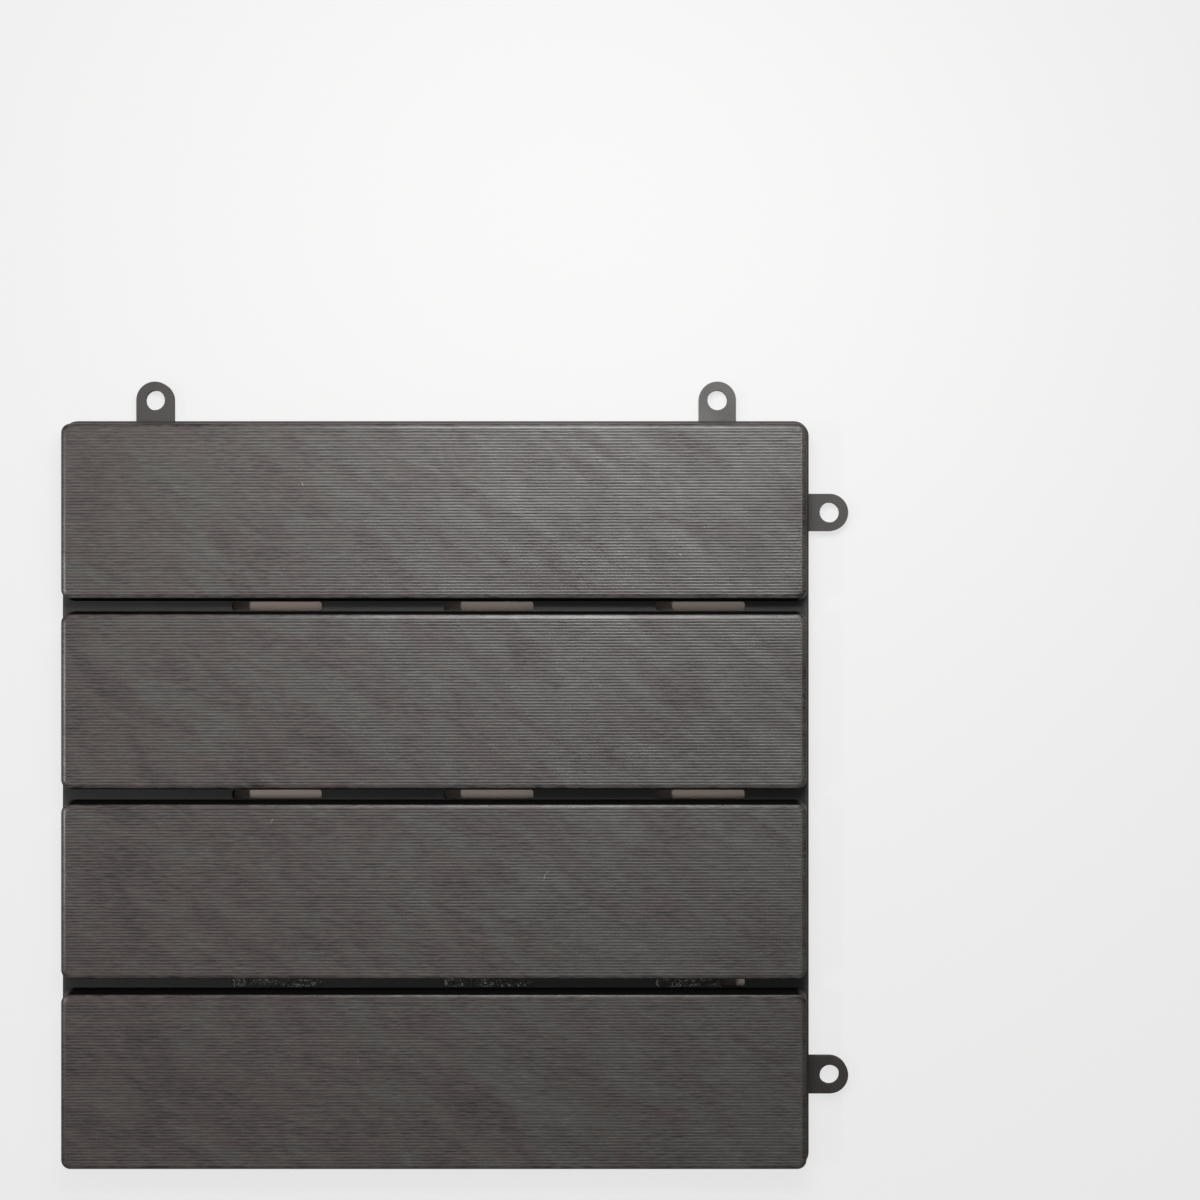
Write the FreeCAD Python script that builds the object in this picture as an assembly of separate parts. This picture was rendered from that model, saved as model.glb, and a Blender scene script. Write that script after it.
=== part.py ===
"""One interlocking deck tile, moulded in a single piece. Millimetres, +Z up.

X runs along the slats and Y across them. The origin is the centre of the tile's square,
on the ground that its feet stand on.
"""
import FreeCAD
import Part
import math
import os

from FreeCAD import Vector

# Overall sizes
module = 300.0              # spacing of laid tiles, centre to centre
joint_clearance = 0.3       # left between the rims of two laid tiles
height = 16.0               # ground to the top of the slats
base_top = 7.0              # ground to the channel floor and the rim
base_corner = 6.0           # plan radius of the rim's corners
base_chamfer = 0.7          # on the rim's upper edge

# Slats and the channels between them
slat_count = 4
channel_width = 6.0         # between the tops of two slats
rim_width = 1.8             # the base stands out past the slats by this much
slat_corner = 3.6           # plan radius of a slat's corners
slat_round = 2.2            # radius that the two flats of a slat's upper edge follow
draft = 2.0                 # degrees that the slats' sides lean, for the mould

# Fine ribs moulded along the slats' tops
reed_pitch = 1.2
reed_groove = 0.7           # width of a groove between two ribs
reed_depth = 0.22
reed_side_border = 2.0      # plain margin along a slat's long sides, at least
reed_end_border = 1.8       # plain margin at a slat's ends

# Drain slots in the channel floors
slot_count = 3
slot_pitch = 85.0
slot_length = 35.9
slot_width = 3.6
slot_clip = 0.7             # off each corner of a slot's plan

# Thin flash that the mould left across the slots of one channel
flash_channel = 0           # counted from -Y
flash_thickness = 0.5
flash_drop = 0.7            # floor's top down to the flash's top
flash_gap = 9.0             # stretch of the last slot that stayed open
flash_tear = 1.1            # how far the torn end wanders
flash_teeth = 6

# Walls and the lattice below
top_skin = 2.0
slat_wall = 2.0
floor_thickness = 2.0
skirt = 2.0
skirt_clip = 2.5            # off each corner inside the skirt
rib = 1.4
ribs_in_slat = 1            # lengthwise ribs under each slat

# Feet
foot_height = 1.5
foot_side = 6.0
foot_step = 2               # cross ribs from one foot to the next

# Loops on the +X and +Y sides, pegs in sockets on the -X and -Y sides
connector_inset = 8.5       # from the joint's middle line to a connector's axis
peg_radius = 3.7
peg_chamfer = 0.6
boss_wall = 2.0             # shoulder round the peg's root, above the next tile's loop
loop_clearance = 0.3        # peg to loop, all round
loop_wall = 3.5
loop_thickness = 3.0
socket_clearance = 0.7      # loop to the socket's sides

# Sizes worked out from those above
base_side = module - joint_clearance
slat_length = base_side - 2 * rim_width
slat_width = (slat_length - (slat_count - 1) * channel_width) / slat_count
slat_pitch = slat_width + channel_width
slat_middles = [(i - (slat_count - 1) / 2) * slat_pitch for i in range(slat_count)]
channel_middles = [(i - (slat_count - 2) / 2) * slat_pitch for i in range(slat_count - 1)]
slope = math.tan(math.radians(draft))
slat_root = base_top - floor_thickness / 2
floor_width = channel_width - 2 * (height - base_top) * slope
floor_under = base_top - floor_thickness
cross_pitch = slot_pitch / 4
slot_middles = [(i - (slot_count - 1) / 2) * slot_pitch + cross_pitch for i in range(slot_count)]
cavity_length = slat_length - 2 * slat_wall
cavity_width = slat_width - 2 * slat_wall
rib_spacing = cavity_width / (ribs_in_slat + 1)
skirt_inside = base_side / 2 - skirt
cross_ribs_each_way = int((skirt_inside - rib) / cross_pitch)
loop_hole = peg_radius + loop_clearance
loop_radius = loop_hole + loop_wall
loop_axis = module / 2 + connector_inset
peg_axis = module / 2 - connector_inset
socket_half = loop_radius + socket_clearance
boss_half = peg_radius + boss_wall
connector_places = [slat_middles[0], slat_middles[-1]]
past = 1.0                  # how far a cutting shape runs past what it cuts
low = foot_height - past    # where the shapes that hollow the underside start


def block(x0, x1, y0, y1, z0, z1):
    """A box between two corners."""
    return Part.makeBox(x1 - x0, y1 - y0, z1 - z0, Vector(x0, y0, z0))


def polygon(points):
    """A flat face on a closed run of points."""
    return Part.Face(Part.makePolygon(points + points[:1]))


def rounded_prism(length, width, corner, z0, z1):
    """An upright block whose plan is a rectangle with round corners."""
    a = length / 2
    b = width / 2
    r = corner
    k = r * (1 - math.sqrt(0.5))

    def at(x, y):
        return Vector(x, y, z0)

    outline = Part.Wire([
        Part.makeLine(at(-a + r, -b), at(a - r, -b)),
        Part.Arc(at(a - r, -b), at(a - k, -b + k), at(a, -b + r)).toShape(),
        Part.makeLine(at(a, -b + r), at(a, b - r)),
        Part.Arc(at(a, b - r), at(a - k, b - k), at(a - r, b)).toShape(),
        Part.makeLine(at(a - r, b), at(-a + r, b)),
        Part.Arc(at(-a + r, b), at(-a + k, b - k), at(-a, b - r)).toShape(),
        Part.makeLine(at(-a, b - r), at(-a, -b + r)),
        Part.Arc(at(-a, -b + r), at(-a + k, -b + k), at(-a + r, -b)).toShape(),
    ])
    return Part.Face(outline).extrude(Vector(0, 0, z1 - z0))


def clipped_prism(length, width, clip, z0, z1, middle=(0.0, 0.0)):
    """An upright block whose plan is a rectangle with its corners clipped."""
    a = length / 2
    b = width / 2
    c = clip
    right = [(a - c, -b), (a, -b + c), (a, b - c), (a - c, b)]
    left = [(-x, -y) for x, y in right]
    outline = polygon([Vector(middle[0] + x, middle[1] + y, z0) for x, y in right + left])
    return outline.extrude(Vector(0, 0, z1 - z0))


def edges_at(shape, z):
    """The edges of a shape that lie wholly at one height."""
    found = []
    for edge in shape.Edges:
        box = edge.BoundBox
        if abs(box.ZMin - z) < 1e-4 and abs(box.ZMax - z) < 1e-4:
            found.append(edge)
    return found


def base_slab():
    """The square base, from the ribs' lower edges to the channel floor."""
    slab = rounded_prism(base_side, base_side, base_corner, foot_height, base_top)
    return slab.makeChamfer(base_chamfer, edges_at(slab, base_top))


def slat_side(reach):
    """A slat's side in section, from root to flat top, as distances out and heights.

    The side leans with the draft. Two flats, a third and two thirds of the way from
    upright to level, follow the rounding of the upper edge.
    """
    start = slat_round * (1 - math.tan(math.radians(15)))
    middle = slat_round * (1 - math.cos(math.radians(45)) / math.cos(math.radians(15)))
    return [
        (reach + (height - slat_root) * slope, slat_root),
        (reach + start * slope, height - start),
        (reach - middle, height - middle),
        (reach - start, height),
    ]


def slat(middle_y):
    """One raised slat with drafted sides, a rounded upper edge and a ribbed top."""
    axis_x = slat_length / 2 - slat_corner
    axis_y = slat_width / 2 - slat_corner
    across = [Vector(-axis_x, middle_y + d, z) for d, z in slat_side(slat_width / 2)]
    across += [Vector(-axis_x, middle_y - d, z) for d, z in reversed(slat_side(slat_width / 2))]
    along = [Vector(d, middle_y - axis_y, z) for d, z in slat_side(slat_length / 2)]
    along += [Vector(-d, middle_y - axis_y, z) for d, z in reversed(slat_side(slat_length / 2))]
    body = polygon(across).extrude(Vector(2 * axis_x, 0, 0))
    pieces = [polygon(along).extrude(Vector(0, 2 * axis_y, 0))]
    for quarter, (side_x, side_y) in enumerate([(1, 1), (-1, 1), (-1, -1), (1, -1)]):
        x = side_x * axis_x
        y = middle_y + side_y * axis_y
        half = [Vector(x, y, slat_root)]
        half += [Vector(x + d, y, z) for d, z in slat_side(slat_corner)]
        half.append(Vector(x, y, height))
        corner = polygon(half)
        corner.rotate(Vector(x, y, 0), Vector(0, 0, 1), 90 * quarter)
        pieces.append(corner.revolve(Vector(x, y, 0), Vector(0, 0, 1), 90))
    body = body.multiFuse(pieces).removeSplitter()
    return body.cut(reed_grooves(middle_y))


def reed_grooves(middle_y):
    """The V grooves that leave fine ribs along a slat's top."""
    field = slat_width - 2 * reed_side_border
    count = int((field - reed_groove) / reed_pitch) + 1
    x0 = -slat_length / 2 + reed_end_border
    run = Vector(slat_length - 2 * reed_end_border, 0, 0)
    grooves = []
    for i in range(count):
        y = middle_y + (i - (count - 1) / 2) * reed_pitch
        section = polygon([
            Vector(x0, y - reed_groove / 2, height),
            Vector(x0, y, height - reed_depth),
            Vector(x0, y + reed_groove / 2, height),
        ])
        grooves.append(section.extrude(run))
    return Part.makeCompound(grooves)


def lattice():
    """The ribs below: across the tile, along each slat and beside each channel."""
    half = base_side / 2
    bars = []
    for i in range(-cross_ribs_each_way, cross_ribs_each_way + 1):
        x = i * cross_pitch
        bars.append(block(x - rib / 2, x + rib / 2, -half, half, low, height))
    for middle in slat_middles:
        for i in range(ribs_in_slat):
            y = middle + (i - (ribs_in_slat - 1) / 2) * rib_spacing
            bars.append(block(-half, half, y - rib / 2, y + rib / 2, low, height))
    grid = bars[0].multiFuse(bars[1:])
    wells = []
    for y in channel_middles:
        for x in slot_middles:
            wells.append(block(x - slot_length / 2, x + slot_length / 2,
                               y - floor_width / 2, y + floor_width / 2, low - past, floor_under))
    grid = grid.cut(Part.makeCompound(wells))
    edge = channel_width / 2 + slat_wall
    sides = []
    for y in channel_middles:
        sides.append(block(-half, half, y + floor_width / 2, y + edge, low, floor_under))
        sides.append(block(-half, half, y - edge, y - floor_width / 2, low, floor_under))
    return grid.multiFuse(sides)


def pockets():
    """The hollows below, left between the skirt, the slats' walls and the ribs."""
    inside = 2 * skirt_inside
    hollow = clipped_prism(inside, inside, skirt_clip, low, floor_under)
    rooms = []
    for middle in slat_middles:
        rooms.append(block(-cavity_length / 2, cavity_length / 2,
                           middle - cavity_width / 2, middle + cavity_width / 2, low, height - top_skin))
    return hollow.multiFuse(rooms).cut(lattice())


def flash_film(x, y, torn):
    """The film across one slot. A torn one leaves the slot's +X end open."""
    top = base_top - flash_drop
    half = slot_width / 2 + past
    left = x - slot_length / 2 - past
    right = x + slot_length / 2 + past
    if not torn:
        return block(left, right, y - half, y + half, top - flash_thickness, top)
    edge = x + slot_length / 2 - flash_gap
    corners = [Vector(left, y - half, top), Vector(edge, y - half, top)]
    for i in range(flash_teeth + 1):
        wander = flash_tear * math.sin(2.4 * i + 0.5)
        corners.append(Vector(edge + wander, y - half + 2 * half * i / flash_teeth, top))
    corners.append(Vector(left, y + half, top))
    return polygon(corners).extrude(Vector(0, 0, -flash_thickness))


def drain_slots():
    """Every slot's tool, less the flash that the mould left in one channel."""
    tools = []
    for channel, y in enumerate(channel_middles):
        for number, x in enumerate(slot_middles):
            tool = clipped_prism(slot_length, slot_width, slot_clip, low, base_top + past, (x, y))
            if channel == flash_channel:
                tool = tool.cut(flash_film(x, y, number == slot_count - 1))
            tools.append(tool)
    return Part.makeCompound(tools)


def turned_to_y(shape):
    """The same shape for the sides that face along Y: X and Y change places."""
    return shape.mirror(Vector(0, 0, 0), Vector(1, -1, 0))


def socket_mouth(place):
    """The tool that opens the -X skirt and the room round a peg."""
    return block(-base_side / 2 - past, -peg_axis + socket_half, place - socket_half, place + socket_half,
                 low, floor_under)


def peg(place):
    """A peg in a socket of the -X side, with the boss that carries it below the slat."""
    boss = block(-peg_axis - boss_half, -peg_axis + boss_half, place - boss_half, place + boss_half,
                 floor_under, height - top_skin / 2)
    pin = Part.makeCylinder(peg_radius, floor_under + past - foot_height, Vector(-peg_axis, place, foot_height))
    return boss.fuse(pin.makeChamfer(peg_chamfer, edges_at(pin, foot_height)))


def loop(place):
    """A flat loop that stands out from the +X skirt."""
    start = base_side / 2 - skirt / 2
    top = foot_height + loop_thickness
    neck = block(start, loop_axis, place - loop_radius, place + loop_radius, foot_height, top)
    ring = Part.makeCylinder(loop_radius, loop_thickness, Vector(loop_axis, place, foot_height))
    hole = Part.makeCylinder(loop_hole, loop_thickness + 2 * past, Vector(loop_axis, place, low))
    return neck.fuse(ring).cut(hole)


def feet():
    """Square feet below the cross ribs, along each slat and the middle channel."""
    found = []
    for i in range(-cross_ribs_each_way, cross_ribs_each_way + 1):
        if i % foot_step == 0:
            x = i * cross_pitch
            for y in slat_middles + [0.0]:
                found.append(block(x - foot_side / 2, x + foot_side / 2,
                                   y - foot_side / 2, y + foot_side / 2, 0, foot_height))
    return found


def deck_tile():
    """The whole moulding."""
    body = base_slab().multiFuse([slat(y) for y in slat_middles])
    body = body.cut(pockets())
    body = body.cut(drain_slots())
    mouths = [socket_mouth(place) for place in connector_places]
    mouths += [turned_to_y(mouth) for mouth in mouths]
    body = body.cut(Part.makeCompound(mouths))
    pegs = [peg(place) for place in connector_places]
    pegs += [turned_to_y(one) for one in pegs]
    loops = [loop(place) for place in connector_places]
    loops += [turned_to_y(one) for one in loops]
    body = body.multiFuse(pegs + loops + feet())
    return body.removeSplitter()


os.makedirs("parts", exist_ok=True)
tile = deck_tile()
print("solids", len(tile.Solids), "valid", tile.isValid(), "volume", round(tile.Volume))
print("faces", len(tile.Faces), "box", tile.BoundBox)
tile.exportStep("parts/deck_tile.step")
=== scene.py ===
"""An interlocking deck tile of satin moulded plastic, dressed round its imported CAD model.

Everything is in metres in the CAD model's frame: X runs along the slats, Y across them, and the
ground is at Z 0. The moulding takes the CAD node's own shell below the slats and gets slats with a
sloped margin, rounded upper edges and soft ribs. Crumpled flash fills the drain slots of the front
channel.
"""
import logging
import math
from contextlib import contextmanager
from dataclasses import dataclass, field
from enum import Enum
from typing import Any, Callable, Iterator, Sequence

import bmesh
import bpy
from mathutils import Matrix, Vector


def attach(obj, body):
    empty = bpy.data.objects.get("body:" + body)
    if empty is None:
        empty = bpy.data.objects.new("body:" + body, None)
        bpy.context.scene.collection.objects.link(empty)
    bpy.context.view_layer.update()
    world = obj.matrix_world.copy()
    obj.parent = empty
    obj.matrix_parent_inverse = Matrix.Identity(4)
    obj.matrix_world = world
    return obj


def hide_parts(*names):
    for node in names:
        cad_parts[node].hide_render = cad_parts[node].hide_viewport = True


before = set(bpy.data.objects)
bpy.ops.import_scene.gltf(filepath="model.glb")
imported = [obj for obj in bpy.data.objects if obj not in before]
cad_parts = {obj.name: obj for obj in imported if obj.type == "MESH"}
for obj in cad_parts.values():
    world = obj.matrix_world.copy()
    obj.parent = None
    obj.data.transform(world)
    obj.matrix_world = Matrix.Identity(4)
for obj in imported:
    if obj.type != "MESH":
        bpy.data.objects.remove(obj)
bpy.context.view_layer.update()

Colour = tuple[float, float, float]
Place = tuple[float, float, float]
# Where a mask is 0, and where it is 1. A falling mask has the higher place first.
Step = tuple[float, float]

# Millimetres to metres, and metres to the millimetres that the materials reckon in.
MM = 0.001
IN_MM = 1000.0
# Lengths that differ by less than this count as equal.
NEAR = 0.01 * MM
NOISE_MEAN = 0.5
SLAT_PITCH = 75.525 * MM
SLOT_PITCH = 85.0 * MM
FIRST_SLOT = -63.75 * MM
log = logging.getLogger("deck_tile")


class Selection(Enum):
    """What an edit-mode selection picks."""

    VERTS = "VERT"
    EDGES = "EDGE"
    FACES = "FACE"


@dataclass(frozen=True)
class Pattern:
    """A soft noise: cells per metre along each axis, and a turn about Z in degrees."""

    cells: Place
    turn: float = 0.0
    detail: float = 2.0
    roughness: float = 0.5
    warp: float = 0.0


@dataclass(frozen=True)
class Specks:
    """Small round specks: cells per metre, a turn in degrees, a radius and the share of cells with one."""

    cells: float
    turn: float
    radius: float
    share: float
    core: float = 0.4
    blend: float = 0.02


class Signal:
    """A shader socket that Python arithmetic can be written with."""

    def __init__(self, graph: "ShaderGraph", socket: bpy.types.NodeSocket) -> None:
        """Wrap one socket.

        Args:
            graph: The graph that new nodes go into.
            socket: The socket that this signal stands for.
        """
        self.graph = graph
        self.socket = socket

    def _maths(self, operation: str, *operands: "Signal | float") -> "Signal":
        """Add one Math node.

        Args:
            operation: The node's operation.
            operands: Signals or numbers for its inputs, in order.

        Returns:
            The node's value.
        """
        inputs = dict(enumerate(operands))
        return self.graph.node("ShaderNodeMath", {"operation": operation}, inputs)

    def __add__(self, other: "Signal | float") -> "Signal":
        """Self plus other."""
        return self._maths("ADD", self, other)

    def __radd__(self, other: "Signal | float") -> "Signal":
        """Other plus self."""
        return self._maths("ADD", other, self)

    def __sub__(self, other: "Signal | float") -> "Signal":
        """Self less other."""
        return self._maths("SUBTRACT", self, other)

    def __rsub__(self, other: "Signal | float") -> "Signal":
        """Other less self."""
        return self._maths("SUBTRACT", other, self)

    def __mul__(self, other: "Signal | float") -> "Signal":
        """Self times other."""
        return self._maths("MULTIPLY", self, other)

    def __rmul__(self, other: "Signal | float") -> "Signal":
        """Other times self."""
        return self._maths("MULTIPLY", other, self)

    def __truediv__(self, other: "Signal | float") -> "Signal":
        """Self over other."""
        return self._maths("DIVIDE", self, other)

    def __neg__(self) -> "Signal":
        """Self with its sign turned."""
        return self._maths("MULTIPLY", self, -1.0)

    def magnitude(self) -> "Signal":
        """Self without its sign."""
        return self._maths("ABSOLUTE", self)

    def fraction(self) -> "Signal":
        """What is left of self above the next lower whole number."""
        return self._maths("FRACT", self)

    def at_least(self, other: "Signal | float") -> "Signal":
        """The larger of self and other."""
        return self._maths("MAXIMUM", self, other)

    def rise(self, step: Step) -> "Signal":
        """A smooth step of self.

        Args:
            step: Where it is 0, and where it is 1.

        Returns:
            The step, from 0 to 1.
        """
        falling = step[1] < step[0]
        inputs = {"Value": self, "From Min": min(step), "From Max": max(step),
                  "To Min": float(falling), "To Max": float(not falling)}
        return self.graph.node("ShaderNodeMapRange", {"interpolation_type": "SMOOTHSTEP"}, inputs)


class ShaderGraph:
    """The nodes of one material or world, all added through a single method."""

    def __init__(self, owner: bpy.types.Material | bpy.types.World) -> None:
        """Start an empty graph.

        Args:
            owner: The material or world that the nodes belong to.
        """
        owner.use_nodes = True
        self.owner = owner
        self.tree = owner.node_tree
        self.tree.nodes.clear()

    @staticmethod
    def _pick(sockets: Sequence[bpy.types.NodeSocket], key: int | str) -> bpy.types.NodeSocket:
        """Find a socket by index, identifier or name.

        Args:
            sockets: A node's inputs or outputs.
            key: Which one.

        Returns:
            The socket.
        """
        if isinstance(key, int):
            return sockets[key]
        exact = [s for s in sockets if s.identifier == key]
        named = [s for s in sockets if s.name == key and s.enabled]
        return (exact or named)[0]

    def node(self, kind: str, settings: dict[str, Any], inputs: dict[int | str, Any],
             output: int | str = 0) -> Signal:
        """Add a node of any type.

        Args:
            kind: The node's type.
            settings: Its settings, set first.
            inputs: Values or signals for its inputs.
            output: The output that is returned.

        Returns:
            That output as a signal, or the first input of a node that has no output.
        """
        made = self.tree.nodes.new(kind)
        for name, value in settings.items():
            setattr(made, name, value)
        for key, value in inputs.items():
            socket = self._pick(made.inputs, key)
            if isinstance(value, Signal):
                self.tree.links.new(value.socket, socket)
            elif isinstance(value, tuple) and len(value) == 3 and len(socket.default_value) == 4:
                socket.default_value = (*value, 1.0)
            else:
                socket.default_value = value
        if not made.outputs:
            return Signal(self, made.inputs[0])
        return Signal(self, self._pick(made.outputs, output))

    def place(self) -> Signal:
        """The shaded point on the piece, in metres."""
        return self.node("ShaderNodeTexCoord", {}, {}, "Object")

    def facing(self) -> Signal:
        """The surface's direction at the shaded point, on the piece's own axes."""
        return self.node("ShaderNodeTexCoord", {}, {}, "Normal")

    def camera_sees(self) -> Signal:
        """1 for what the camera sees directly, and 0 for all other light."""
        return self.node("ShaderNodeLightPath", {}, {}, "Is Camera Ray")

    def axes(self, vector: Signal) -> tuple[Signal, Signal, Signal]:
        """A vector's three parts.

        Args:
            vector: The vector.

        Returns:
            Its X, Y and Z.
        """
        split = self.node("ShaderNodeSeparateXYZ", {}, {0: vector})
        x, y, z = (Signal(self, part) for part in split.socket.node.outputs)
        return x, y, z

    def scaled(self, vector: Signal, cells: Place, turn: float) -> Signal:
        """A vector turned about Z and scaled, for a pattern's coordinates.

        Args:
            vector: The vector.
            cells: Pattern cells per metre along each axis.
            turn: The turn about Z, in degrees.

        Returns:
            The pattern's coordinates.
        """
        rotation = (0.0, 0.0, math.radians(turn))
        turned = self.node("ShaderNodeMapping", {}, {"Vector": vector, "Rotation": rotation})
        return self.node("ShaderNodeVectorMath", {"operation": "MULTIPLY"}, {0: turned, 1: cells})

    def noise(self, point: Signal, pattern: Pattern) -> Signal:
        """Soft noise about 0.5.

        Args:
            point: The shaded point.
            pattern: The noise's size, turn and detail.

        Returns:
            The noise.
        """
        cell = self.scaled(point, pattern.cells, pattern.turn)
        values = {"Vector": cell, "Scale": 1.0, "Detail": pattern.detail, "Roughness": pattern.roughness,
                  "Distortion": pattern.warp}
        return self.node("ShaderNodeTexNoise", {}, values)

    def specks(self, point: Signal, specks: Specks) -> Signal:
        """Small round specks, one at most in each cell.

        Args:
            point: The shaded point.
            specks: Their size and number.

        Returns:
            A mask of the specks.
        """
        cells = self.scaled(point, (specks.cells,) * 3, specks.turn)
        away = self.node("ShaderNodeTexVoronoi", {}, {"Vector": cells, "Scale": 1.0}, "Distance")
        chance = self.axes(Signal(self, self._pick(away.socket.node.outputs, "Color")))[0]
        bare = 1.0 - specks.share
        found = chance.rise((bare, bare + specks.blend))
        return away.rise((specks.radius, specks.radius * specks.core)) * found

    def mix(self, amount: Signal, first: Signal | Colour, second: Signal | Colour) -> Signal:
        """Mix two colours.

        Args:
            amount: The second's share.
            first: A colour.
            second: Another colour.

        Returns:
            The mixed colour.
        """
        inputs = {"Factor_Float": amount, "A_Color": first, "B_Color": second}
        return self.node("ShaderNodeMix", {"data_type": "RGBA"}, inputs, "Result_Color")

    def tinted(self, colour: Signal, gain: Signal) -> Signal:
        """A colour made lighter or darker.

        Args:
            colour: The colour.
            gain: What it is multiplied by.

        Returns:
            The new colour.
        """
        return self.node("ShaderNodeVectorMath", {"operation": "SCALE"}, {0: colour, "Scale": gain})

    def glossy(self, base: dict[str, Any], height: Signal, depth: float) -> Signal:
        """A Principled shader with relief.

        Args:
            base: Values or signals for the shader's sockets.
            height: Relief, from 0 to 1.
            depth: The relief's full depth, in metres.

        Returns:
            The shader.
        """
        bump = {"Strength": 1.0, "Distance": depth, "Height": height}
        relief = self.node("ShaderNodeBump", {}, bump, "Normal")
        return self.node("ShaderNodeBsdfPrincipled", {}, {**base, "Normal": relief})

    def closed(self, shader: Signal) -> bpy.types.Material:
        """Close a material's graph.

        Args:
            shader: What the surface is.

        Returns:
            The material.
        """
        self.node("ShaderNodeOutputMaterial", {}, {"Surface": shader})
        return self.owner


@dataclass(frozen=True)
class Scratch:
    """A short pale scratch on a slat's top, in millimetres and degrees."""

    x: float
    y: float
    length: float
    turn: float
    width: float = 0.35

    def mask(self, x: Signal, y: Signal) -> Signal:
        """The scratch as a mask that fades at its ends and sides.

        Args:
            x: The point's X, in millimetres.
            y: The point's Y, in millimetres.

        Returns:
            The mask.
        """
        c, s = math.cos(math.radians(self.turn)), math.sin(math.radians(self.turn))
        along = ((x - self.x) * c + (y - self.y) * s).magnitude()
        across = ((y - self.y) * c - (x - self.x) * s).magnitude()
        return along.rise((self.length / 2, self.length / 4)) * across.rise((self.width / 2, self.width / 5))


@dataclass(frozen=True)
class Zones:
    """Where the shaded point lies on the tile: its place in millimetres, and a mask of each zone."""

    x: Signal
    y: Signal
    upright: Signal
    on_top: Signal
    in_groove: Signal
    on_border: Signal
    in_channel: Signal


@dataclass(frozen=True)
class TileMap:
    """The edges of the tile's zones, in millimetres."""

    # The part of the surface's direction that points up or down, where a face counts as upright.
    steep: Step = (0.80, 0.50)
    # Heights.
    top_level: Step = (13.9, 14.9)
    groove_level: Step = (15.98, 15.85)
    channel_level: Step = (6.2, 6.8)
    # How far the ribs reach from a slat's middle, and the edge of the plain border past them.
    rib_field: tuple[float, float] = (146.0, 32.8)
    border_edge: Step = (-0.2, 0.3)
    # The three channels, which take painted shade: past a slat's side, clear of the outer walls, and up to
    # the tile's ends.
    channel_side: Step = (33.9, 34.3)
    channel_rows: Step = (100.0, 90.0)
    wall_end: Step = (146.5, 144.0)
    floor_end: Step = (149.0, 147.9)

    def zones(self, graph: ShaderGraph, point: Signal) -> Zones:
        """Find where the shaded point lies.

        Args:
            graph: The material's graph.
            point: The shaded point.

        Returns:
            Its place and the masks.
        """
        x, y, z = (part * IN_MM for part in graph.axes(point))
        pitch = SLAT_PITCH * IN_MM
        along = x.magnitude()
        across = ((y / pitch).fraction() * pitch - pitch / 2).magnitude()
        upright = graph.axes(graph.facing())[2].magnitude().rise(self.steep)
        on_top = z.rise(self.top_level) * (1.0 - upright)
        past_ribs = (along - self.rib_field[0]).at_least(across - self.rib_field[1])
        in_channel = across.rise(self.channel_side) * y.magnitude().rise(self.channel_rows)
        in_channel = in_channel * z.rise(self.channel_level)
        clear_of_ends = along.rise(self.wall_end) * upright + along.rise(self.floor_end) * (1.0 - upright)
        return Zones(x=x, y=y, upright=upright, on_top=on_top, in_groove=z.rise(self.groove_level) * on_top,
                     on_border=past_ribs.rise(self.border_edge), in_channel=in_channel * clear_of_ends)


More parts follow.
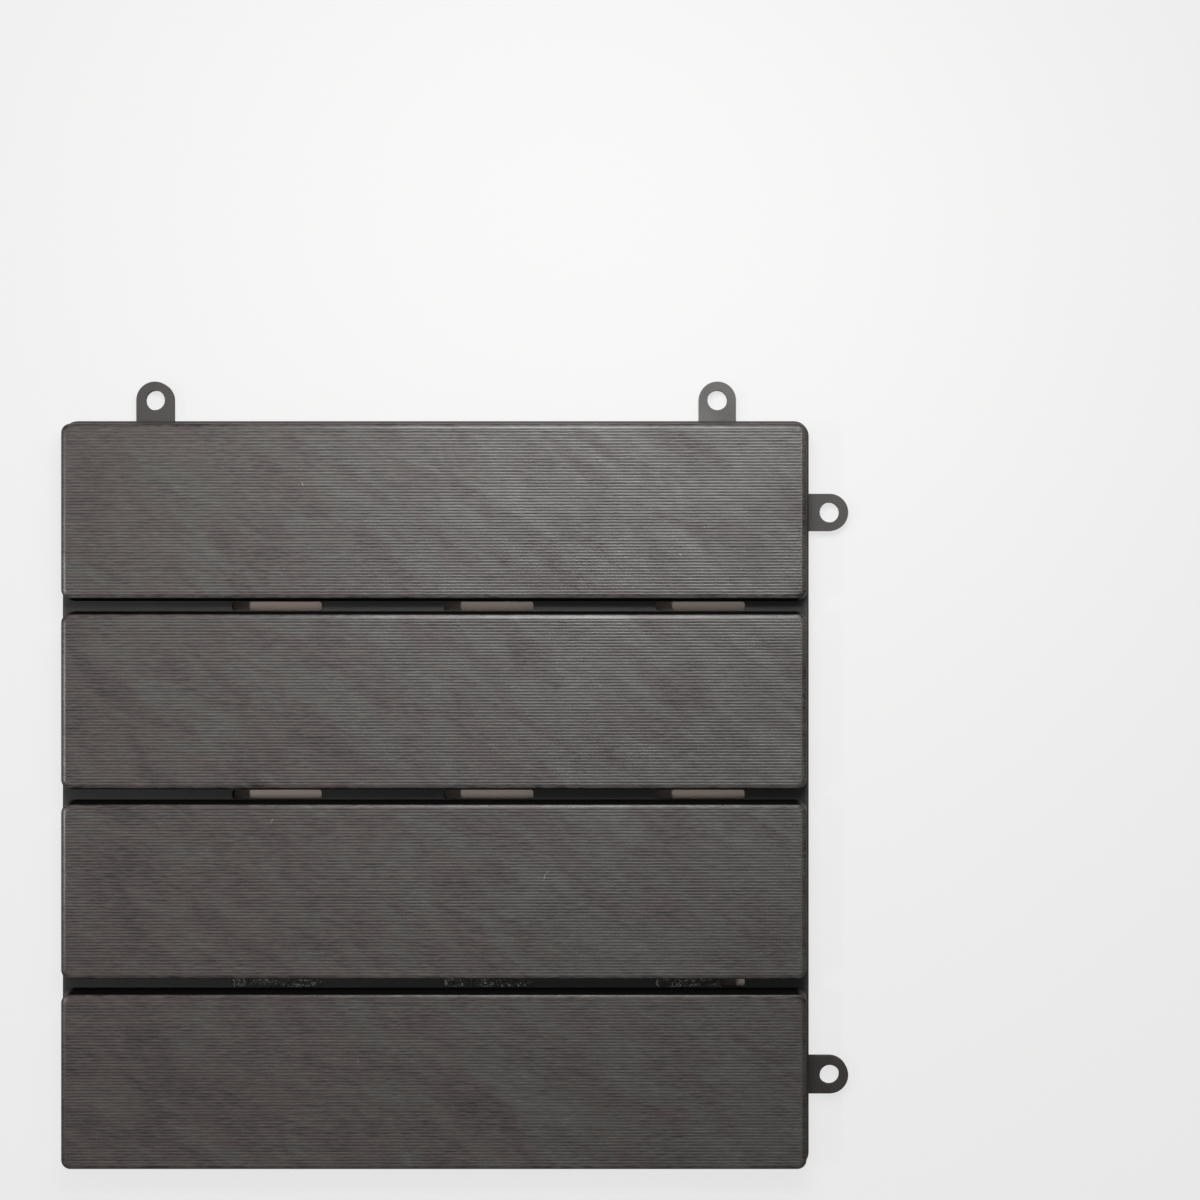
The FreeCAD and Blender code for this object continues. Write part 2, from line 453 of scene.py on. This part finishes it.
@dataclass(frozen=True)
class SatinMoulding:
    """Dark warm grey polypropylene: paler and scuffed on the slats' tops, with painted shade making the
    channels near black.
    """

    # Colours: two tones of the worn tops, the unworn plastic, painted shade for a channel's floor and walls,
    # and marks.
    top: Colour = (0.0640, 0.0508, 0.0482)
    cool: Colour = (0.0562, 0.0526, 0.0480)
    plain: Colour = (0.036, 0.0315, 0.0295)
    shade: Colour = (0.012, 0.0112, 0.0107)
    wall: Colour = (0.005, 0.0047, 0.0045)
    dust: Colour = (0.34, 0.32, 0.30)
    pit: Colour = (0.020, 0.018, 0.017)

    # Patterns: slanting flow marks, single ribs, streaks along them, grain, and where the grooves' painted
    # shade breaks into dashes.
    flow: Pattern = Pattern((30.0, 84.0, 10.0), turn=36.0, detail=3.0, roughness=0.6, warp=0.7)
    ribs: Pattern = Pattern((14.0, 830.0, 10.0), detail=1.0)
    streaks: Pattern = Pattern((150.0, 1500.0, 10.0), detail=3.0, roughness=0.65)
    grain: Pattern = Pattern((2600.0, 2600.0, 2600.0), detail=1.0)
    clear: Pattern = Pattern((40.0, 90.0, 10.0), turn=32.0, roughness=0.6)
    broken: Pattern = Pattern((230.0, 1100.0, 10.0), detail=1.0)
    groove_shade_dash_step: Step = (0.36, 0.62)
    # The cool tone's patches follow the flow marks, and lean towards +X and +Y by this much a millimetre.
    patch_edge: Step = (0.40, 0.60)
    patch_lean: tuple[float, float] = (0.0007, 0.0003)

    # How much each pattern lightens or darkens.
    brightness: float = 1.05
    flow_contrast: float = 1.2
    rib_contrast: float = 0.6
    streak_contrast: float = 1.4
    grain_contrast: float = 0.55
    side_contrast: float = 0.4
    # Painted shade in the rib grooves, and what its dashes add.
    groove_shade: float = 0.06
    broken_shade: float = 0.26
    clear_shade: float = 0.38

    # Gloss: the tops' roughness, what each pattern and zone adds, and the share of the channels' walls that
    # takes a dark, glossless shader as painted shade.
    roughness: float = 0.43
    border_roughness: float = 0.27
    flow_gloss: float = 0.22
    streak_dullness: float = 0.12
    groove_dullness: float = 0.10
    side_dullness: float = 0.08
    painted_wall_shader_share: float = 0.92
    painted_wall_shader_roughness: float = 0.9
    ior: float = 1.49

    # Relief: its full depth, and each pattern's share.
    relief: float = 0.012 * MM
    grain_relief: float = 0.7
    streak_relief: float = 0.3
    pit_relief: float = 0.5
    scratch_relief: float = 0.3

    # Marks, and how much of the plastic's colour each covers.
    dust_specks: Specks = Specks(120.0, 0.0, 0.035, 0.16)
    pit_specks: Specks = Specks(130.0, 30.0, 0.055, 0.20)
    dust_cover: float = 0.6
    pit_cover: float = 0.8
    scratch_cover: float = 0.55
    scratches: tuple[Scratch, ...] = (
        Scratch(44.0, -31.9, 3.4, 78.0), Scratch(45.2, -30.0, 1.6, 40.0), Scratch(143.8, -132.1, 1.6, 15.0),
        Scratch(-64.2, -9.6, 2.4, 60.0), Scratch(-52.0, 124.0, 2.2, -70.0), Scratch(66.0, 44.0, 1.5, 30.0),
        Scratch(-30.0, -105.0, 1.2, 80.0), Scratch(98.0, 96.0, 1.6, -35.0),
    )

    def scuffs(self, zones: Zones) -> Signal:
        """The pale scratches as one mask.

        Args:
            zones: Where the shaded point lies.

        Returns:
            The mask.
        """
        found, *others = [scratch.mask(zones.x, zones.y) for scratch in self.scratches]
        for other in others:
            found = found.at_least(other)
        return found

    def material(self) -> bpy.types.Material:
        """Make the material.

        Returns:
            The material.
        """
        graph = ShaderGraph(bpy.data.materials.new("satin_moulding"))
        point = graph.place()
        at = TileMap().zones(graph, point)
        flow = graph.noise(point, self.flow)
        streaks = graph.noise(point, self.streaks)
        grain = graph.noise(point, self.grain)
        dust = graph.specks(point, self.dust_specks)
        pits = graph.specks(point, self.pit_specks)
        marks = self.scuffs(at)

        ribs = (graph.noise(point, self.ribs) - NOISE_MEAN) * self.rib_contrast
        gain = (self.brightness + (flow - NOISE_MEAN) * self.flow_contrast + ribs
                + (streaks - NOISE_MEAN) * self.streak_contrast + (grain - NOISE_MEAN) * self.grain_contrast)
        # Painted shade darkens the rib grooves, more strongly in dashes.
        clear = graph.noise(point, self.clear).rise(self.groove_shade_dash_step) * self.clear_shade
        broken = graph.noise(point, self.broken).rise(self.groove_shade_dash_step) * (self.broken_shade + clear)
        gain = gain - at.in_groove * (self.groove_shade + broken)
        patches = (flow + at.x * self.patch_lean[0] + at.y * self.patch_lean[1]).rise(self.patch_edge)
        worn = graph.tinted(graph.mix(patches, self.top, self.cool), gain)

        # Painted shade: a channel's floor and its walls take near-black colours, the walls the darker.
        painted_channel_shade = graph.mix(at.upright, self.shade, self.wall)
        mottle = 1.0 + (grain - NOISE_MEAN) * self.side_contrast
        body = graph.tinted(graph.mix(at.in_channel, self.plain, painted_channel_shade), mottle)
        colour = graph.mix(at.on_top, body, worn)
        colour = graph.mix(pits * at.on_top * self.pit_cover, colour, self.pit)
        pale = (dust * self.dust_cover).at_least(marks * self.scratch_cover) * at.on_top
        colour = graph.mix(pale, colour, self.dust)

        rough = self.roughness + at.on_border * at.on_top * (self.border_roughness - self.roughness)
        rough = rough - (flow - NOISE_MEAN) * self.flow_gloss + (streaks - NOISE_MEAN) * self.streak_dullness
        rough = rough + at.in_groove * self.groove_dullness + (1.0 - at.on_top) * self.side_dullness
        height = (grain * self.grain_relief + streaks * self.streak_relief - pits * self.pit_relief
                  + marks * self.scratch_relief)
        satin = graph.glossy({"Base Color": colour, "Roughness": rough, "IOR": self.ior}, height, self.relief)
        # Painted shade: most of each channel wall takes a dark shader without gloss.
        painted_wall_shader = graph.node("ShaderNodeBsdfPrincipled", {}, {"Base Color": self.wall, "Specular IOR Level": 0.0,
                                                           "Roughness": self.painted_wall_shader_roughness})
        share = at.in_channel * at.upright * self.painted_wall_shader_share
        return graph.closed(graph.node("ShaderNodeMixShader", {}, {0: share, 1: satin, 2: painted_wall_shader}))


@dataclass(frozen=True)
class TornFlash:
    """Thin crumpled flash: the moulding's dark plastic darkened further by painted shade, whitened along
    folds and grain, with painted highlight on its raised crumples and at each slot's -X lip.
    """

    # The film carries the channel's painted shade; the pale colour is whitening on folds and grain, and
    # painted highlight on raised crumples and lips.
    film: Colour = (0.010, 0.009, 0.008)
    crease: Colour = (0.40, 0.38, 0.36)
    roughness: float = 0.42
    grain_dullness: float = 0.2
    ior: float = 1.49
    relief: float = 0.10 * MM

    # Patterns: crumpled grain, the clusters that it shows in, and thin folds.
    crumple: Pattern = Pattern((1500.0, 1300.0, 900.0), turn=25.0, detail=3.0, roughness=0.7)
    clusters: Pattern = Pattern((170.0, 420.0, 300.0), detail=1.0)
    folds: Pattern = Pattern((620.0, 900.0, 500.0), turn=20.0, detail=1.5, roughness=0.6)
    cluster_edge: Step = (0.44, 0.56)
    fold_width: Step = (0.040, 0.012)
    fold_grain: Step = (0.36, 0.56)
    # The painted highlight on a lip at each slot's -X end, in millimetres from the slot's middle.
    lip_highlight_band: Step = (16.6, 17.3)
    lip_highlight_grain: Step = (0.44, 0.54)
    # Painted highlight on what stands up, by its height in millimetres, and whitening by the grain.
    painted_highlight_height: Step = (6.50, 6.92)
    painted_highlight_weight: float = 0.6
    grain_stress: float = 0.9
    unstressed: float = 0.25
    whitened: Step = (0.52, 0.80)
    cluster_share: float = 0.7

    def material(self) -> bpy.types.Material:
        """Make the material.

        Returns:
            The material.
        """
        graph = ShaderGraph(bpy.data.materials.new("torn_flash"))
        point = graph.place()
        x, _, level = (part * IN_MM for part in graph.axes(point))
        grain = graph.noise(point, self.crumple)
        clusters = graph.noise(point, self.clusters).rise(self.cluster_edge)
        pitch = SLOT_PITCH * IN_MM
        along = (((x - FIRST_SLOT * IN_MM) / pitch + 0.5).fraction() - 0.5) * pitch
        folds = (graph.noise(point, self.folds) - NOISE_MEAN).magnitude().rise(self.fold_width)
        folds = folds * clusters * grain.rise(self.fold_grain)
        # Painted highlight at each slot's -X lip, and on the raised crumples below.
        lip_highlights = (-along).rise(self.lip_highlight_band) * folds.at_least(grain.rise(self.lip_highlight_grain))
        whitening_and_highlight = level.rise(self.painted_highlight_height) * self.painted_highlight_weight + grain * self.grain_stress - self.unstressed
        whitening_and_highlight = whitening_and_highlight.rise(self.whitened) * clusters * self.cluster_share
        colour = graph.mix(whitening_and_highlight.at_least(lip_highlights).at_least(folds), self.film, self.crease)
        rough = self.roughness + grain * self.grain_dullness
        film = graph.glossy({"Base Color": colour, "Roughness": rough, "IOR": self.ior}, grain, self.relief)
        return graph.closed(film)


@dataclass(frozen=True)
class PalePaper:
    """The plain pale sheet that the tile lies on, in millimetres."""

    tone: Colour = (0.56, 0.555, 0.55)
    under: Colour = (0.74, 0.62, 0.545)
    # The square under the tile that keeps its true tone, less its corners.
    half_shade: float = 149.6
    shade_edge: float = 1.0
    corner_cut: float = 1.6
    fibre: Pattern = Pattern((900.0, 900.0, 900.0), detail=3.0)
    fibre_low: float = 0.97
    fibre_span: float = 0.06
    # The white share for the camera: near the tile, and rising to all of it far off.
    near_white: float = 0.76
    horizon: Step = (300.0, 1100.0)
    white: Colour = (1.0, 1.0, 1.0)
    white_strength: float = 0.95

    def material(self) -> bpy.types.Material:
        """Make the material, white to the camera round the tile and still taking its shadow.

        Returns:
            The material.
        """
        graph = ShaderGraph(bpy.data.materials.new("pale_paper"))
        point = graph.place()
        x, y, _ = (part * IN_MM for part in graph.axes(point))
        away = x.magnitude().at_least(y.magnitude())
        away = away.at_least((x.magnitude() + y.magnitude()) * 0.5 + self.corner_cut)
        outside = away.rise((self.half_shade - self.shade_edge, self.half_shade))
        gain = self.fibre_low + graph.noise(point, self.fibre) * self.fibre_span
        colour = graph.tinted(graph.mix(outside, self.under, self.tone), gain)
        sheet = graph.node("ShaderNodeBsdfDiffuse", {}, {"Color": colour})
        white = graph.node("ShaderNodeEmission", {}, {"Color": self.white, "Strength": self.white_strength})
        share = self.near_white + away.rise(self.horizon) * (1.0 - self.near_white)
        share = graph.camera_sees() * outside * share
        return graph.closed(graph.node("ShaderNodeMixShader", {}, {0: share, 1: sheet, 2: white}))


class Workpiece:
    """An object being modelled with Blender's own operators."""

    def __init__(self, obj: bpy.types.Object) -> None:
        """Take up an object.

        Args:
            obj: The object.
        """
        self.obj = obj

    @classmethod
    def of_mesh(cls, name: str, mesh: bpy.types.Mesh) -> "Workpiece":
        """A new object on a mesh.

        Args:
            name: The object's name.
            mesh: Its mesh.

        Returns:
            The workpiece.
        """
        obj = bpy.data.objects.new(name, mesh)
        bpy.context.scene.collection.objects.link(obj)
        return cls(obj)

    @classmethod
    def of_primitive(cls, name: str, add: Callable[..., Any], **sizes: Any) -> "Workpiece":
        """A new primitive at the origin.

        Args:
            name: The object's name.
            add: The operator that adds it.
            sizes: That operator's own values.

        Returns:
            The workpiece.
        """
        bpy.ops.object.select_all(action="DESELECT")
        add(location=(0.0, 0.0, 0.0), **sizes)
        bpy.context.object.name = name
        return cls(bpy.context.object)

    def hold(self) -> None:
        """Select this object alone and make it active."""
        bpy.ops.object.select_all(action="DESELECT")
        self.obj.select_set(True)
        bpy.context.view_layer.objects.active = self.obj

    @contextmanager
    def opened(self) -> Iterator["Workpiece"]:
        """Edit mode on this object, with everything selected.

        Yields:
            This workpiece.
        """
        self.hold()
        bpy.ops.object.mode_set(mode="EDIT")
        bpy.ops.mesh.select_all(action="SELECT")
        yield self
        bpy.ops.object.mode_set(mode="OBJECT")

    def pick(self, kind: Selection, wanted: Callable[[Any], bool]) -> int:
        """Select what passes a test and nothing else. Edit mode is on.

        Args:
            kind: Verts, edges or faces.
            wanted: The test of one of them.

        Returns:
            How many are selected.
        """
        bpy.ops.mesh.select_mode(type=kind.value)
        bpy.ops.mesh.select_all(action="DESELECT")
        shape = bmesh.from_edit_mesh(self.obj.data)
        groups = {Selection.VERTS: shape.verts, Selection.EDGES: shape.edges, Selection.FACES: shape.faces}
        found = [part for part in groups[kind] if wanted(part)]
        for part in found:
            part.select_set(True)
        bmesh.update_edit_mesh(self.obj.data)
        return len(found)

    def modify(self, kind: str, **settings: Any) -> None:
        """Add a modifier and apply it.

        Args:
            kind: The modifier's type.
            settings: Its settings.
        """
        self.hold()
        modifier = self.obj.modifiers.new(kind.lower(), kind)
        for name, value in settings.items():
            setattr(modifier, name, value)
        bpy.ops.object.modifier_apply(modifier=modifier.name)

    def copied(self, name: str) -> "Workpiece":
        """A copy with a mesh of its own.

        Args:
            name: The copy's name.

        Returns:
            The copy.
        """
        return Workpiece.of_mesh(name, self.obj.data.copy())

    def absorb(self, others: Sequence["Workpiece"]) -> None:
        """Join other workpieces into this one.

        Args:
            others: The workpieces, which end here.
        """
        self.hold()
        for other in others:
            other.obj.select_set(True)
        bpy.ops.object.join()

    def shift(self, by: Vector) -> None:
        """Move the whole mesh.

        Args:
            by: How far, in metres.
        """
        with self.opened():
            bpy.ops.transform.translate(value=by)

    def dressed(self, finish: bpy.types.Material) -> bpy.types.Object:
        """Give the whole piece one material.

        Args:
            finish: The material.

        Returns:
            The piece's object.
        """
        self.obj.data.materials.clear()
        self.obj.data.materials.append(finish)
        return self.obj


@dataclass
class Slat:
    """One slat: drafted walls, a sloped margin, a rounded edge and soft ribs, in metres and degrees."""

    half_length: float = 148.05 * MM
    half_width: float = 34.7625 * MM
    corner: float = 3.6 * MM
    corner_steps: int = 11
    root: float = 7.0 * MM
    top: float = 16.0 * MM
    draft: float = 2.0
    border_width: float = 1.95 * MM
    border_fall: float = 0.52 * MM
    round_width: float = 0.75 * MM
    round_steps: int = 6
    # The ribs lie between grooves, this many rows of points apart.
    rib_pitch: float = 1.2 * MM
    rib_rows: int = 6
    groove_count: int = 55
    # From the slat's end to the ribs' end, the slope in which a groove runs out, and what the outermost lose.
    rib_end: float = 2.05 * MM
    run_out: float = 0.45 * MM
    outer_cut: float = 1.5 * MM
    # A groove's depth in its middle, and one and two rows from it.
    falls: tuple[float, ...] = (0.18 * MM, 0.095 * MM, 0.012 * MM)

    @property
    def flare(self) -> float:
        """How far the wall's foot stands out past its top."""
        return (self.top - self.root) * math.tan(math.radians(self.draft))

    def shell(self) -> Workpiece:
        """The walls, the rounding and the sloped margin, open below and at the top.

        Returns:
            The shell, about the origin in plan.
        """
        made = Workpiece.of_primitive("slat", bpy.ops.mesh.primitive_plane_add, size=2.0)
        rim = self.top - self.border_fall
        with made.opened():
            size = (self.half_length + self.flare, self.half_width + self.flare, 1.0)
            bpy.ops.transform.resize(value=size, center_override=(0.0, 0.0, 0.0))
            bpy.ops.transform.translate(value=(0.0, 0.0, self.root))
            bpy.ops.mesh.bevel(offset=self.corner + self.flare, affect="VERTICES", segments=self.corner_steps)
            bpy.ops.mesh.select_all(action="SELECT")
            bpy.ops.mesh.inset(thickness=self.flare, depth=rim - self.root)
            bpy.ops.mesh.inset(thickness=self.border_width, depth=self.border_fall)
            made.pick(Selection.EDGES, lambda e: all(abs(v.co.z - rim) < NEAR for v in e.verts))
            bpy.ops.mesh.bevel(offset=self.round_width, affect="EDGES", segments=self.round_steps)
            made.pick(Selection.FACES, lambda f: all(v.co.z > self.top - NEAR for v in f.verts))
            bpy.ops.mesh.delete(type="ONLY_FACE")
        return made

    def ribs(self) -> Workpiece:
        """The ribbed panel that goes into the top.

        Its two outermost grooves end early, inside the margin's rounded corners.

        Returns:
            The panel, about the origin in plan.
        """
        row = self.rib_pitch / self.rib_rows
        flank = len(self.falls) - 1
        rows = (self.groove_count - 1) * self.rib_rows + 2 * flank
        reach = rows / 2 * row
        half = self.half_length - self.rib_end
        columns = 3
        column = half / columns
        made = Workpiece.of_primitive("ribs", bpy.ops.mesh.primitive_grid_add, size=2.0,
                                      x_subdivisions=columns, y_subdivisions=rows)
        with made.opened():
            bpy.ops.transform.resize(value=(half, reach, 1.0), center_override=(0.0, 0.0, 0.0))
            bpy.ops.transform.translate(value=(0.0, 0.0, self.top))
            # The two inner columns of points move out to where the grooves run out.
            for side in (-1.0, 1.0):
                made.pick(Selection.VERTS, lambda v: 0.0 < side * v.co.x < 2 * column)
                bpy.ops.transform.translate(value=(side * (half - column - self.run_out), 0.0, 0.0))
            for step, fall in enumerate(self.falls):
                made.pick(Selection.VERTS, lambda v: self.steps_from_groove(v.co.y) == step
                          and abs(v.co.x) < half - self.run_out / 2 and abs(v.co.y) < reach - row / 2)
                bpy.ops.transform.translate(value=(0.0, 0.0, -fall))
            # Both columns of each end move back at the outermost grooves.
            for side in (-1.0, 1.0):
                made.pick(Selection.VERTS, lambda v: side * v.co.x > half - 2 * self.run_out
                          and abs(v.co.y) > reach - (self.rib_rows - 0.5) * row)
                bpy.ops.transform.translate(value=(-side * self.outer_cut, 0.0, 0.0))
        return made

    def steps_from_groove(self, y: float) -> int:
        """How many rows a place lies from the nearest groove's middle.

        Args:
            y: The place across the slat.

        Returns:
            The rows.
        """
        row = round(y * self.rib_rows / self.rib_pitch) % self.rib_rows
        return min(row, self.rib_rows - row)

    def build(self) -> Workpiece:
        """The whole slat, open below.

        Returns:
            The slat, about the origin in plan.
        """
        made = self.shell()
        made.absorb([self.ribs()])
        level = self.top - NEAR
        with made.opened():
            made.pick(Selection.EDGES, lambda e: e.is_boundary and all(v.co.z > level for v in e.verts))
            bpy.ops.mesh.fill(use_beauty=False)
        return made


@dataclass
class Moulding:
    """The tile itself: one shell with four slats, in metres."""

    node: str = "deck_tile"
    slat: Slat = field(default_factory=Slat)
    slat_count: int = 4
    weld: float = 0.002 * MM
    # A slat's faces lie above the first of these heights, and all that lie above the second are outside.
    seam_level: float = 7.0005 * MM
    crown_level: float = 14.1 * MM
    # How far from its middle a slat's outside starts, along and across.
    skin: tuple[float, float] = (146.5 * MM, 33.3 * MM)
    # How near a point of a wall's foot has to lie, and how far the foot moves out.
    foot_reach: float = 0.05 * MM
    foot_spread: float = 0.65 * MM
    # Degrees.
    smooth_below: float = 26.0

    @property
    def middles(self) -> list[float]:
        """Each slat's middle across the tile."""
        return [(i - (self.slat_count - 1) / 2) * SLAT_PITCH for i in range(self.slat_count)]

    def on_a_slat(self, face: bmesh.types.BMFace) -> bool:
        """Whether a face of the CAD shell belongs to a slat's outside.

        Args:
            face: The face.

        Returns:
            True for walls, roundings, ribs and tops.
        """
        middle = face.calc_center_median()
        across = min(abs(middle.y - m) for m in self.middles)
        outer = abs(middle.x) > self.skin[0] or across > self.skin[1]
        return middle.z > self.seam_level and (middle.z > self.crown_level or outer)

    def base(self) -> Workpiece:
        """The CAD shell's base and underside, open where the slats stand.

        Returns:
            The open shell.
        """
        made = Workpiece.of_mesh("moulding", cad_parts[self.node].data.copy())
        made.hold()
        bpy.ops.mesh.customdata_custom_splitnormals_clear()
        with made.opened():
            bpy.ops.mesh.remove_doubles(threshold=self.weld)
            made.pick(Selection.FACES, self.on_a_slat)
            bpy.ops.mesh.delete(type="FACE")
        return made

    def on_foot(self, vert: bmesh.types.BMVert, middle: float) -> bool:
        """Whether a point lies on the line where a slat's walls meet the base.

        Args:
            vert: The point.
            middle: The slat's middle across the tile.

        Returns:
            True on that line.
        """
        slat = self.slat
        along = abs(vert.co.x) - slat.half_length + slat.corner
        across = abs(vert.co.y - middle) - slat.half_width + slat.corner
        past = math.hypot(max(along, 0.0), max(across, 0.0))
        level = abs(vert.co.z - slat.root) < self.foot_reach
        return level and abs(past - slat.corner - slat.flare) < self.foot_reach

    def spread_feet(self, made: Workpiece) -> None:
        """Give the walls the stronger draft that shows in the channels. Edit mode is on.

        Args:
            made: The welded moulding.
        """
        slat = self.slat
        reach = (slat.half_length + slat.flare, slat.half_width + slat.flare)
        size = (1.0 + self.foot_spread / reach[0], 1.0 + self.foot_spread / reach[1], 1.0)
        for middle in self.middles:
            found = made.pick(Selection.VERTS, lambda v: self.on_foot(v, middle))
            log.info("slat at %.1f mm: %d points on its foot", middle / MM, found)
            bpy.ops.transform.resize(value=size, center_override=(0.0, middle, 0.0))

    def build(self) -> bpy.types.Object:
        """Build and dress the moulding.

        Returns:
            The finished piece.
        """
        made = self.base()
        first = self.slat.build()
        slats = [first.copied(f"slat_{i}") for i in range(1, self.slat_count)] + [first]
        for part, middle in zip(slats, self.middles):
            part.shift(Vector((0.0, middle, 0.0)))
        made.absorb(slats)
        with made.opened():
            bpy.ops.mesh.remove_doubles(threshold=self.weld)
            bpy.ops.mesh.normals_make_consistent(inside=False)
            holes = made.pick(Selection.EDGES, lambda e: not e.is_manifold)
            self.spread_feet(made)
        if holes:
            log.warning("the moulding has %d open edges", holes)
        made.hold()
        bpy.ops.object.shade_smooth_by_angle(angle=math.radians(self.smooth_below))
        made.dressed(SatinMoulding().material())
        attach(made.obj, "root")
        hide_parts(self.node)
        return made.obj


@dataclass(frozen=True)
class Crumple:
    """One size of lumps on a film, in metres."""

    name: str
    size: float
    height: float


@dataclass
class FlashFilm:
    """Crumpled flash across one drain slot, lying on the moulding's own thin web, in metres."""

    name: str
    x: float
    y: float = -SLAT_PITCH
    length: float = 35.9 * MM
    width: float = 3.6 * MM
    corner_clip: float = 0.7 * MM
    level: float = 6.55 * MM
    cell: float = 0.2 * MM
    thickness: float = 0.08 * MM
    crumples: tuple[Crumple, ...] = (
        Crumple("crumple", 1.7 * MM, 0.30 * MM),
        Crumple("crease", 0.55 * MM, 0.22 * MM),
    )
    # The torn end: how much stays open, how far the tear wanders, and its two waves across the slot.
    open_end: float = 0.0
    tear: float = 1.1 * MM
    tear_width: float = 5.6 * MM
    tear_turns: float = 14.4
    tear_start: float = 0.5
    tear_share: float = 0.8
    rag_turns: float = 9000.0
    rag_share: float = 0.35

    def beyond_tear(self, face: bmesh.types.BMFace) -> bool:
        """Whether a face lies in the stretch that stayed open.

        Args:
            face: A face of the film.

        Returns:
            True past the torn end.
        """
        middle = face.calc_center_median()
        across = (middle.y - self.y) / self.tear_width + 0.5
        wander = math.sin(self.tear_turns * across + self.tear_start) * self.tear_share
        ragged = math.sin(middle.y * self.rag_turns) * self.rag_share
        return middle.x > self.x + self.length / 2 - self.open_end + self.tear * (wander + ragged)

    def past_clip(self, vert: bmesh.types.BMVert) -> bool:
        """Whether a point lies in one of the slot's clipped corners.

        Args:
            vert: A point of the film.

        Returns:
            True in a corner.
        """
        along = self.length / 2 - abs(vert.co.x - self.x)
        across = self.width / 2 - abs(vert.co.y - self.y)
        return along + across < self.corner_clip - NEAR

    def build(self, finish: bpy.types.Material) -> bpy.types.Object:
        """Build and dress the film.

        Args:
            finish: The film's material.

        Returns:
            The finished piece.
        """
        made = Workpiece.of_primitive(self.name, bpy.ops.mesh.primitive_grid_add, size=2.0,
                                      x_subdivisions=int(self.length / self.cell),
                                      y_subdivisions=int(self.width / self.cell))
        with made.opened():
            size = (self.length / 2, self.width / 2, 1.0)
            bpy.ops.transform.resize(value=size, center_override=(0.0, 0.0, 0.0))
            bpy.ops.transform.translate(value=(self.x, self.y, self.level))
            if self.open_end:
                made.pick(Selection.FACES, self.beyond_tear)
                bpy.ops.mesh.delete(type="FACE")
            made.pick(Selection.VERTS, self.past_clip)
            bpy.ops.mesh.delete(type="VERT")
        for crumple in self.crumples:
            texture = bpy.data.textures.new(f"{self.name}_{crumple.name}", "CLOUDS")
            texture.noise_scale = crumple.size
            texture.noise_depth = 1
            made.modify("DISPLACE", texture=texture, strength=crumple.height, mid_level=0.5, direction="Z",
                        texture_coords="LOCAL")
        made.modify("SOLIDIFY", thickness=self.thickness, offset=1.0)
        made.dressed(finish)
        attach(made.obj, "root")
        return made.obj


@dataclass(frozen=True)
class Softbox:
    """A soft lamp that looks at a point, in metres and watts."""

    name: str
    place: Place
    aim: Place
    width: float
    depth: float
    power: float

    def build(self) -> bpy.types.Object:
        """Make the lamp.

        Returns:
            The lamp.
        """
        data = bpy.data.lights.new(self.name, "AREA")
        data.shape = "RECTANGLE"
        data.size = self.width
        data.size_y = self.depth
        data.energy = self.power
        lamp = bpy.data.objects.new(self.name, data)
        lamp.location = self.place
        lamp.visible_camera = False
        lamp.rotation_euler = (Vector(self.aim) - Vector(self.place)).to_track_quat("-Z", "Y").to_euler()
        bpy.context.scene.collection.objects.link(lamp)
        return lamp


@dataclass
class Studio:
    """Floor, lamps, surroundings and camera, in metres."""

    floor_side: float = 12.0
    eye: Place = (0.066, 0.078, 0.760)
    view_width: float = 0.476
    view_level: float = 0.016
    sensor: float = 36.0
    air: Colour = (1.0, 0.98, 0.96)
    air_strength: float = 0.16
    backdrop: Colour = (0.95, 0.95, 0.95)
    lamps: tuple[Softbox, ...] = (
        Softbox("key", (0.08, 0.27, 0.30), (0.06, 0.11, 0.0), 0.28, 0.10, 0.78),
        Softbox("overhead", (0.04, 0.28, 0.48), (0.02, 0.18, 0.0), 0.22, 0.06, 1.17),
        Softbox("north", (-0.06, 0.56, 1.06), (0.0, 0.0, 0.0), 0.66, 0.44, 2.10),
        Softbox("side", (-0.95, -0.02, 1.06), (0.0, 0.0, 0.0), 0.36, 0.06, 5.0),
        Softbox("front", (-0.06, -0.78, 1.06), (0.0, 0.0, 0.0), 0.64, 0.60, 0.90),
    )

    def floor(self) -> None:
        """Lay the pale floor."""
        sheet = Workpiece.of_primitive("floor", bpy.ops.mesh.primitive_plane_add, size=self.floor_side)
        sheet.dressed(PalePaper().material())

    def sky(self) -> None:
        """Set the even surroundings, which look white to the camera alone."""
        bpy.context.scene.world = bpy.data.worlds.new("studio")
        graph = ShaderGraph(bpy.context.scene.world)
        dim = graph.node("ShaderNodeBackground", {}, {"Color": self.air, "Strength": self.air_strength})
        white = graph.node("ShaderNodeBackground", {}, {"Color": self.backdrop})
        mixed = graph.node("ShaderNodeMixShader", {}, {0: graph.camera_sees(), 1: dim, 2: white})
        graph.node("ShaderNodeOutputWorld", {}, {"Surface": mixed})

    def camera(self) -> None:
        """Look straight down, with +X to the right of the picture."""
        data = bpy.data.cameras.new("camera")
        data.sensor_width = self.sensor
        data.lens = self.sensor * (self.eye[2] - self.view_level) / self.view_width
        camera = bpy.data.objects.new("camera", data)
        camera.location = self.eye
        bpy.context.scene.collection.objects.link(camera)
        bpy.context.scene.camera = camera

    def build(self) -> None:
        """Set the stage."""
        bpy.context.scene.view_settings.view_transform = "Standard"
        self.floor()
        self.sky()
        for lamp in self.lamps:
            lamp.build()
        self.camera()


def main() -> None:
    """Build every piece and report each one."""
    logging.basicConfig(level=logging.INFO, format="%(name)s: %(message)s")
    moulding = Moulding().build()
    film_finish = TornFlash().material()
    films = [
        FlashFilm("flash_left", FIRST_SLOT).build(film_finish),
        FlashFilm("flash_middle", FIRST_SLOT + SLOT_PITCH).build(film_finish),
        FlashFilm("flash_right", FIRST_SLOT + 2 * SLOT_PITCH, open_end=9.0 * MM).build(film_finish),
    ]
    for piece in [moulding, *films]:
        log.info("%s: %d faces", piece.name, len(piece.data.polygons))
    Studio().build()


if __name__ == "__main__":
    main()
